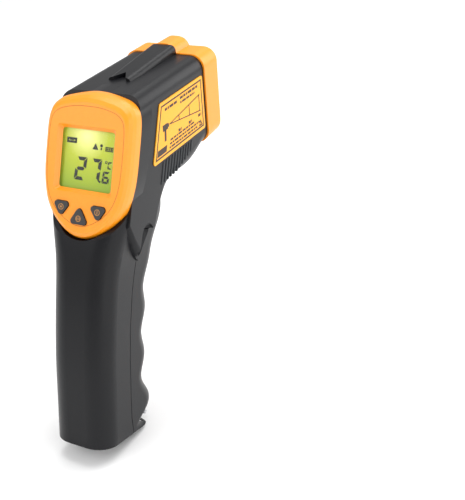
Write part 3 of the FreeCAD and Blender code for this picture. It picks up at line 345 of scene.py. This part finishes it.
def digit(kind, x, y, wide, tall, thick, slant):
    """Seven-segment strokes of a figure from its lower left corner."""
    half = tall / 2
    gap = thick * 0.18
    strokes = {
        "a": [(gap + thick * 0.2, tall), (wide - gap, tall), (wide - thick, tall - thick),
              (thick, tall - thick)],
        "d": [(gap, 0), (wide - gap - thick * 0.2, 0), (wide - thick, thick), (thick, thick)],
        "g": [(thick * 0.9, half - thick / 2), (wide - thick * 0.9, half - thick / 2),
              (wide - thick * 0.5, half), (wide - thick * 0.9, half + thick / 2),
              (thick * 0.9, half + thick / 2), (thick * 0.5, half)],
        "b": [(wide - thick, half + thick * 0.7), (wide, half + gap), (wide, tall - gap),
              (wide - thick, tall - thick - gap)],
        "c": [(wide - thick, thick + gap), (wide, gap), (wide, half - gap), (wide - thick,
                                                                             half - thick * 0.7)],
        "f": [(0, half + gap), (thick, half + thick * 0.7), (thick, tall - thick - gap), (0, tall - gap)],
        "e": [(0, gap), (thick, thick + gap), (thick, half - thick * 0.7), (0, half - gap)],
    }
    return [[(x + a + slant * b / tall, y + b) for a, b in strokes[letter]] for letter in SEGMENTS[kind]]


def circle(x, y, radius, count=16):
    """A small round outline."""
    return [(x + radius * math.cos(2 * math.pi * k / count), y + radius * math.sin(2 * math.pi * k / count))
            for k in range(count)]


def display_strokes():
    """The reading and the small icons of the display."""
    strokes = digit("2", -6.4, -8.4, 5.0, 9.3, 1.4, 0.9)
    strokes += digit("7", 0.7, -8.4, 4.8, 9.3, 1.4, 0.9)
    strokes += digit("6", 6.8, -8.4, 3.2, 4.8, 0.9, 0.4)
    strokes += digit("C", 9.0, -2.6, 1.9, 2.9, 0.55, 0.2)
    strokes += frame_bars(circle(8.3, 0.0, 0.6, 10), 0.28)
    strokes.append(circle(5.95, -7.9, 0.5, 10))
    strokes += frame_bars([(-10.9, 5.9), (-6.2, 5.9), (-6.2, 8.1), (-10.9, 8.1)], 0.85)
    strokes.append(bar(-9.6, 6.85, 2.1, 0.35))
    strokes += frame_bars([(1.4, 4.4), (4.1, 4.4), (2.75, 6.9)], 0.6)
    strokes.append(bar(2.55, 5.0, 0.4, 0.7))
    strokes.append(circle(5.5, 6.2, 0.62, 12))
    strokes.append(bar(5.2, 4.5, 0.6, 0.9))
    strokes += frame_bars([(7.4, 4.2), (11.0, 4.2), (11.0, 6.0), (7.4, 6.0)], 0.36)
    strokes += [bar(7.9 + 0.95 * k, 4.65, 0.65, 0.9) for k in range(3)]
    return strokes


class THERMO_OT_display(bpy.types.Operator):
    """Lay the reading and icons on the display panel"""

    bl_idname = "thermometer.display"
    bl_label = "Display art"

    def execute(self, context):
        ink = solid_material("display_ink", (0.004, 0.006, 0.002), 0.5, strength=0.0)
        mesh = flat_mesh("display_art", display_strokes(), display_frame(), ART_LOW, ART_HIGH)
        add_piece("display_art", mesh, "housing_body", ink)
        return {"FINISHED"}


# Bezel shade line and key icons ------------------------------------------------------------------

FACE_LINE = ((0, 21.0), (4.6, 20.9), (9.2, 20.2), (13.4, 18.9), (16.1, 16.6), (17.2, 12.7), (17.5, 5.0),
             (17.4, -3.0), (17.0, -8.4), (15.8, -13.8), (13.5, -18.4), (10.0, -22.0), (6.0, -24.6),
             (2.6, -25.9), (0, -26.2))
LINE_LEVEL = 2.24
LINE_RADIUS = 0.13


def smooth_loop(points, steps=6):
    """A closed Catmull-Rom loop through 2-D points."""
    loop = []
    count = len(points)
    for index in range(count):
        a, b, c, d = (Vector(points[(index + k - 1) % count]) for k in range(4))
        for step in range(steps):
            t = step / steps
            loop.append(0.5 * ((2 * b) + (c - a) * t + (2 * a - 5 * b + 4 * c - d) * t * t
                               + (3 * b - a - 3 * c + d) * t * t * t))
    return loop


class THERMO_OT_bezel_line(bpy.types.Operator):
    """Draw a painted shade line in the fine step round the bezel's face"""

    bl_idname = "thermometer.bezel_line"
    bl_label = "Bezel line"

    def execute(self, context):
        # painted shade: a dark orange line stands in for the shade in the bezel's step
        step_shade = solid_material("bezel_step_shade", (0.42, 0.11, 0.006), 0.6, strength=0.02)
        right = list(FACE_LINE)
        left = [(-x, y) for x, y in reversed(FACE_LINE[1:-1])]
        loop = [(point.x, point.y, LINE_LEVEL) for point in smooth_loop(right + left)]
        mesh = loop_mesh("bezel_line", loop, LINE_RADIUS, display_frame(), 6)
        add_piece("bezel_line", mesh, "housing_body", step_shade)
        return {"FINISHED"}


KEY_ICONS = (
    ("left", (-8.6, -19.5), ("ring", "dot")),
    ("middle", (0.0, -23.2), ("ring", "bars")),
    ("right", (8.6, -19.5), ("ring", "bar")),
)
KEY_TOP = 3.1
ICON_SUNK = 0.06
PRINT_THICK = 0.03


def icon_strokes(x, y, parts):
    """A small generic icon on a key."""
    strokes = []
    if "ring" in parts:
        strokes += frame_bars(circle(x, y, 1.25, 18), 0.28)
    if "dot" in parts:
        strokes.append(circle(x, y, 0.45, 12))
    if "bar" in parts:
        strokes.append(bar(x - 0.18, y - 0.7, 0.36, 1.4))
    if "bars" in parts:
        strokes += [bar(x - 0.75 + 0.6 * k, y - 0.5, 0.3, 1.0) for k in range(3)]
    return strokes


class THERMO_OT_key_icons(bpy.types.Operator):
    """Print a small icon on each key"""

    bl_idname = "thermometer.key_icons"
    bl_label = "Key icons"

    def execute(self, context):
        print_ink = solid_material("key_print", (0.45, 0.2, 0.05), 0.5, strength=0.02)
        for name, (x, y), parts in KEY_ICONS:
            title = "icon_" + name
            mesh = flat_mesh(title, icon_strokes(x, y, parts), display_frame(), KEY_TOP - ICON_SUNK,
                             KEY_TOP + PRINT_THICK)
            add_piece(title, mesh, name + "_key_body", print_ink)
        return {"FINISHED"}


# Label -------------------------------------------------------------------------------------------

LABEL = ((32.8, 113.6), (78.4, 113.6), (78.4, 137.2), (41.9, 137.2))
LABEL_TOP = 19.15


def label_strokes():
    """Border, distance diagram and generic lines of print, as forward and up millimetres."""
    strokes = frame_bars(inset(LABEL, 1.3), 0.7)
    strokes.append(bar(36.3, 116.1, 7.6, 2.6, 1.0))
    for row, (start, length) in enumerate(((46.6, 24.4), (47.2, 26.4), (47.8, 21.4))):
        strokes += dashes(start, 116.2 + 1.5 * row, length, 0.8, row)
    strokes += dashes(45.5, 132.9, 10.4, 1.1, 1)
    strokes += dashes(58.3, 133.4, 15.6, 1.1, 2)
    strokes += dashes(58.3, 131.6, 12.6, 0.9, 0)
    strokes += [bar(42.6, 125.0, 4.2, 2.6), bar(43.2, 120.6, 1.5, 4.6, 0.6), bar(46.8, 125.6, 1.0, 1.5)]
    strokes.append([(48.2, 126.2), (75.0, 129.6), (75.0, 130.1), (48.2, 126.6)])
    strokes.append([(48.2, 126.2), (75.0, 122.4), (75.0, 122.9), (48.2, 126.6)])
    for x, half in ((56.0, 1.2), (65.0, 2.3), (74.0, 3.4)):
        strokes.append(bar(x, 126.4 - half, 0.6, half * 2))
    for x in (55.0, 64.0, 72.6):
        strokes += dashes(x, 120.4, 2.8, 1.2, 1)
    strokes += frame_bars([(72.6, 115.9), (76.0, 115.9), (74.3, 118.8)], 0.6)
    return strokes


def dashes(start, level, length, tall, seed):
    """One line of print as uneven words."""
    words = []
    place = start
    step = 0
    while place < start + length:
        wide = 1.1 + 0.7 * ((seed * 5 + step * 3) % 4)
        wide = min(wide, start + length - place)
        words.append(bar(place, level, wide, tall))
        place += wide + 0.5
        step += 1
    return [word for word in words if word[1][0] - word[0][0] > 0.2]


class THERMO_OT_label(bpy.types.Operator):
    """Print the border, diagram and lines on the side label"""

    bl_idname = "thermometer.label"
    bl_label = "Label print"

    def execute(self, context):
        ink = solid_material("label_ink", (0.03, 0.012, 0.004), 0.5, strength=0.02)
        mesh = flat_mesh("label_print", label_strokes(), side_frame(), LABEL_TOP, LABEL_TOP + PRINT_THICK)
        add_piece("label_print", mesh, "housing_body", ink)
        return {"FINISHED"}


# Grip texture ------------------------------------------------------------------------------------

RIB_COUNT = 11
RIB_START = 38.2
RIB_HALF = 0.5
RIB_TOP = 112.4
SCREW_WELL = (43.0, 107.0)
WELL_ROOM = 3.6
RIB_INSIDE = 17.6
RIB_OUTSIDE = 19.2
RIB_ROUND = 0.35
RIB_FEET = ((30.0, 103.2), (52.0, 104.2), (60.0, 106.4), (66.0, 108.4))


def rib_foot(forward):
    """The level where a rib ends above the barrel's rising underside."""
    for (start, low), (finish, high) in zip(RIB_FEET, RIB_FEET[1:]):
        if forward <= finish:
            return low + (high - low) * max(0.0, forward - start) / (finish - start)
    return RIB_FEET[-1][1]


class THERMO_OT_side_ribs(bpy.types.Operator):
    """Raise the slanted ribs under the label on both sides"""

    bl_idname = "thermometer.side_ribs"
    bl_label = "Side ribs"

    def execute(self, context):
        material = bpy.data.materials["charcoal_plastic"]
        pitch = settings().rib_pitch / MM
        slope = math.tan(BEZEL_TILT)
        for sign, side in ((1, "right"), (-1, "left")):
            outlines = []
            for index in range(RIB_COUNT):
                foot = RIB_START + pitch * index
                low = rib_foot(foot)
                if sign < 0 and abs(foot + (SCREW_WELL[1] - low) * slope - SCREW_WELL[0]) < WELL_ROOM:
                    continue
                lean = (RIB_TOP - low) * slope
                outlines.append([(foot - RIB_HALF, low), (foot + RIB_HALF, low),
                                 (foot + RIB_HALF + lean, RIB_TOP), (foot - RIB_HALF + lean, RIB_TOP)])
            title = "side_ribs_" + side
            mesh = flat_mesh(title, outlines, side_frame(sign), RIB_INSIDE, RIB_OUTSIDE)
            piece = add_piece(title, mesh, "housing_body", material)
            bevel = piece.modifiers.new("round", "BEVEL")
            bevel.width = RIB_ROUND * MM
            bevel.segments = 3
        return {"FINISHED"}


# Stage -------------------------------------------------------------------------------------------

CAMERA = {"azimuth": 34.2, "elevation": 27.4, "roll": -6.7, "distance": 0.40896,
          "target": (0.00499, 0.03084, 0.0791), "lens": 69.55, "shift_x": 0.205, "shift_y": -0.02}


def camera_matrix():
    """The camera's place from its azimuth, elevation, roll and distance."""
    azimuth = math.radians(CAMERA["azimuth"])
    elevation = math.radians(CAMERA["elevation"])
    roll = math.radians(CAMERA["roll"])
    back = Vector((math.sin(azimuth) * math.cos(elevation), -math.cos(azimuth) * math.cos(elevation),
                   math.sin(elevation)))
    right = Vector((math.cos(azimuth), math.sin(azimuth), 0.0))
    up = back.cross(right)
    across = right * math.cos(roll) + up * math.sin(roll)
    above = -right * math.sin(roll) + up * math.cos(roll)
    place = Vector(CAMERA["target"]) + back * CAMERA["distance"]
    turn = Matrix((across, above, back)).transposed().to_4x4()
    return Matrix.Translation(place) @ turn


LIGHTS = (
    ("key_light", (-0.55, -0.75, 0.75), 0.9, 6.0),
    ("side_light", (0.95, -0.25, 0.35), 0.7, 4.0),
    ("top_light", (0.1, 0.35, 1.0), 1.0, 10.0),
    ("rim_light", (0.55, 0.9, 0.4), 0.6, 3.0),
)


class THERMO_OT_stage(bpy.types.Operator):
    """Set the floor, the soft lights and the camera"""

    bl_idname = "thermometer.stage"
    bl_label = "Stage"

    def execute(self, context):
        scene = context.scene
        mesh = flat_mesh("floor", [[(-3000, -3000), (3000, -3000), (3000, 3000), (-3000, 3000)]],
                         Matrix.Translation((0, 0, -0.0052)), -5.0, 0.0)
        floor = bpy.data.objects.new("floor", mesh)
        scene.collection.objects.link(floor)
        floor.data.materials.append(solid_material("floor_white", (0.93, 0.93, 0.93), 0.7, scale=40.0,
                                                   strength=0.01, spread=0.005))
        for name, place, size, power in LIGHTS:
            self.add_light(scene, name, Vector(place), size, power)
        data = bpy.data.cameras.new("camera")
        data.lens = CAMERA["lens"]
        data.shift_x = CAMERA["shift_x"]
        data.shift_y = CAMERA["shift_y"]
        data.clip_start = 0.01
        camera = bpy.data.objects.new("camera", data)
        camera.matrix_world = camera_matrix()
        scene.collection.objects.link(camera)
        scene.camera = camera
        scene.view_settings.view_transform = "Standard"
        world = bpy.data.worlds.new("studio")
        world.use_nodes = True
        world.node_tree.nodes["Background"].inputs["Color"].default_value = (1.0, 1.0, 1.0, 1.0)
        world.node_tree.nodes["Background"].inputs["Strength"].default_value = 0.55
        scene.world = world
        return {"FINISHED"}

    def add_light(self, scene, name, place, size, power):
        """One soft area light that points at the object."""
        data = bpy.data.lights.new(name, "AREA")
        data.size = size
        data.energy = power
        light = bpy.data.objects.new(name, data)
        light.location = place
        light.rotation_euler = (Vector((0, 0.03, 0.08)) - place).to_track_quat("-Z", "Y").to_euler()
        scene.collection.objects.link(light)
        return light


OPERATORS = (THERMO_OT_materials, THERMO_OT_display, THERMO_OT_bezel_line, THERMO_OT_key_icons,
             THERMO_OT_label, THERMO_OT_side_ribs, THERMO_OT_stage)


class THERMO_PT_panel(bpy.types.Panel):
    """The looks' operators, in the order they run"""

    bl_idname = "THERMO_PT_panel"
    bl_label = "Thermometer"
    bl_space_type = "VIEW_3D"
    bl_region_type = "UI"
    bl_category = "Thermometer"

    def draw(self, context):
        for operator in OPERATORS:
            self.layout.operator(operator.bl_idname)


CLASSES = (LookSettings,) + OPERATORS + (THERMO_PT_panel,)


def register():
    """Register the classes and the settings."""
    for item in CLASSES:
        bpy.utils.register_class(item)
    bpy.types.Scene.thermometer_looks = bpy.props.PointerProperty(type=LookSettings)


def unregister():
    """Remove the settings and the classes."""
    del bpy.types.Scene.thermometer_looks
    for item in reversed(CLASSES):
        bpy.utils.unregister_class(item)


def main():
    """Build the looks in order."""
    register()
    bpy.ops.thermometer.materials()
    bpy.ops.thermometer.display()
    bpy.ops.thermometer.bezel_line()
    bpy.ops.thermometer.key_icons()
    bpy.ops.thermometer.label()
    bpy.ops.thermometer.side_ribs()
    bpy.ops.thermometer.stage()


if __name__ == "__main__":
    main()
